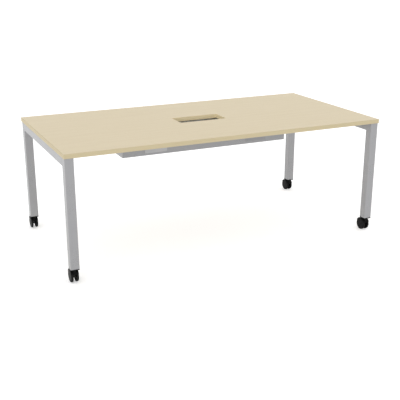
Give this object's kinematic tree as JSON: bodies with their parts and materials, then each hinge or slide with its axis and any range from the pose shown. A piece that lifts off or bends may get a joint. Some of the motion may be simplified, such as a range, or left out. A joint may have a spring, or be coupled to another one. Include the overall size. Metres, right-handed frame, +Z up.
{
  "type": "office table",
  "caption": "Rectangular mobile meeting table: wood-look top with edge bands, square tube frame, swivel casters, and a cable cut-out over a sheet-metal cable tray.",
  "frame": {"origin": "on the floor, under the middle of the table top", "axes": "+X along the table's length, +Y from the front long side to the rear long side, +Z up"},
  "size_m": [2, 1.0295, 0.735],
  "materials": {
    "maple_laminate": "satin light maple laminate",
    "maple_edge": "satin maple-coloured edging",
    "silver_paint": "fine silver powder coat",
    "black_nylon": "moulded black nylon",
    "zinc_steel": "bright zinc plate"
  },
  "bodies": {
    "table": {"beam_weld_nuts": "zinc_steel", "caster_stem_front_left": "zinc_steel", "caster_stem_front_right": "zinc_steel", "caster_stem_rear_left": "zinc_steel", "caster_stem_rear_right": "zinc_steel", "cutout_edge_band": "maple_edge", "edge_band_front": "maple_edge", "edge_band_left": "maple_edge", "edge_band_rear": "maple_edge", "edge_band_right": "maple_edge", "end_beam_left": "silver_paint", "end_beam_right": "silver_paint", "leg_front_left": "silver_paint", "leg_front_right": "silver_paint", "leg_insert_front_left": "black_nylon", "leg_insert_front_right": "black_nylon", "leg_insert_rear_left": "black_nylon", "leg_insert_rear_right": "black_nylon", "leg_rear_left": "silver_paint", "leg_rear_right": "silver_paint", "long_rail_front": "silver_paint", "long_rail_rear": "silver_paint", "rail_bolts": "zinc_steel", "rail_end_plate_front_left": "silver_paint", "rail_end_plate_front_right": "silver_paint", "rail_end_plate_rear_left": "silver_paint", "rail_end_plate_rear_right": "silver_paint", "top_board": "maple_laminate", "top_bracket_screws": "zinc_steel", "top_brackets": "silver_paint", "tray_cover_front_left": "silver_paint", "tray_cover_front_right": "silver_paint", "tray_cover_rear_left": "silver_paint", "tray_cover_rear_right": "silver_paint", "tray_end_left": "silver_paint", "tray_end_right": "silver_paint", "tray_pan": "silver_paint", "tray_screws": "zinc_steel"},
    "caster_front_left": {"caster_hood_front_left": "black_nylon", "caster_axle_front_left": "zinc_steel"},
    "wheel_front_left_left": {"caster_wheel_front_left_left": "black_nylon"},
    "wheel_front_left_right": {"caster_wheel_front_left_right": "black_nylon"},
    "caster_front_right": {"caster_hood_front_right": "black_nylon", "caster_axle_front_right": "zinc_steel"},
    "wheel_front_right_left": {"caster_wheel_front_right_left": "black_nylon"},
    "wheel_front_right_right": {"caster_wheel_front_right_right": "black_nylon"},
    "caster_rear_left": {"caster_hood_rear_left": "black_nylon", "caster_axle_rear_left": "zinc_steel"},
    "wheel_rear_left_left": {"caster_wheel_rear_left_left": "black_nylon"},
    "wheel_rear_left_right": {"caster_wheel_rear_left_right": "black_nylon"},
    "caster_rear_right": {"caster_hood_rear_right": "black_nylon", "caster_axle_rear_right": "zinc_steel"},
    "wheel_rear_right_left": {"caster_wheel_rear_right_left": "black_nylon"},
    "wheel_rear_right_right": {"caster_wheel_rear_right_right": "black_nylon"}
  },
  "joints": [
    {"name": "swivel_front_left", "type": "hinge", "parent": "table", "child": "caster_front_left", "pos_m": [-0.971, -0.471, 0.07], "axis": [0, 0, 1], "continuous": true},
    {"name": "roll_front_left_left", "type": "hinge", "parent": "caster_front_left", "child": "wheel_front_left_left", "pos_m": [-0.987, -0.45, 0.0375], "axis": [1, 0, 0], "continuous": true},
    {"name": "roll_front_left_right", "type": "hinge", "parent": "caster_front_left", "child": "wheel_front_left_right", "pos_m": [-0.955, -0.45, 0.0375], "axis": [1, 0, 0], "continuous": true},
    {"name": "swivel_front_right", "type": "hinge", "parent": "table", "child": "caster_front_right", "pos_m": [0.971, -0.471, 0.07], "axis": [0, 0, 1], "continuous": true},
    {"name": "roll_front_right_left", "type": "hinge", "parent": "caster_front_right", "child": "wheel_front_right_left", "pos_m": [0.955, -0.45, 0.0375], "axis": [1, 0, 0], "continuous": true},
    {"name": "roll_front_right_right", "type": "hinge", "parent": "caster_front_right", "child": "wheel_front_right_right", "pos_m": [0.987, -0.45, 0.0375], "axis": [1, 0, 0], "continuous": true},
    {"name": "swivel_rear_left", "type": "hinge", "parent": "table", "child": "caster_rear_left", "pos_m": [-0.971, 0.471, 0.07], "axis": [0, 0, 1], "continuous": true},
    {"name": "roll_rear_left_left", "type": "hinge", "parent": "caster_rear_left", "child": "wheel_rear_left_left", "pos_m": [-0.987, 0.492, 0.0375], "axis": [1, 0, 0], "continuous": true},
    {"name": "roll_rear_left_right", "type": "hinge", "parent": "caster_rear_left", "child": "wheel_rear_left_right", "pos_m": [-0.955, 0.492, 0.0375], "axis": [1, 0, 0], "continuous": true},
    {"name": "swivel_rear_right", "type": "hinge", "parent": "table", "child": "caster_rear_right", "pos_m": [0.971, 0.471, 0.07], "axis": [0, 0, 1], "continuous": true},
    {"name": "roll_rear_right_left", "type": "hinge", "parent": "caster_rear_right", "child": "wheel_rear_right_left", "pos_m": [0.955, 0.492, 0.0375], "axis": [1, 0, 0], "continuous": true},
    {"name": "roll_rear_right_right", "type": "hinge", "parent": "caster_rear_right", "child": "wheel_rear_right_right", "pos_m": [0.987, 0.492, 0.0375], "axis": [1, 0, 0], "continuous": true}
  ]
}
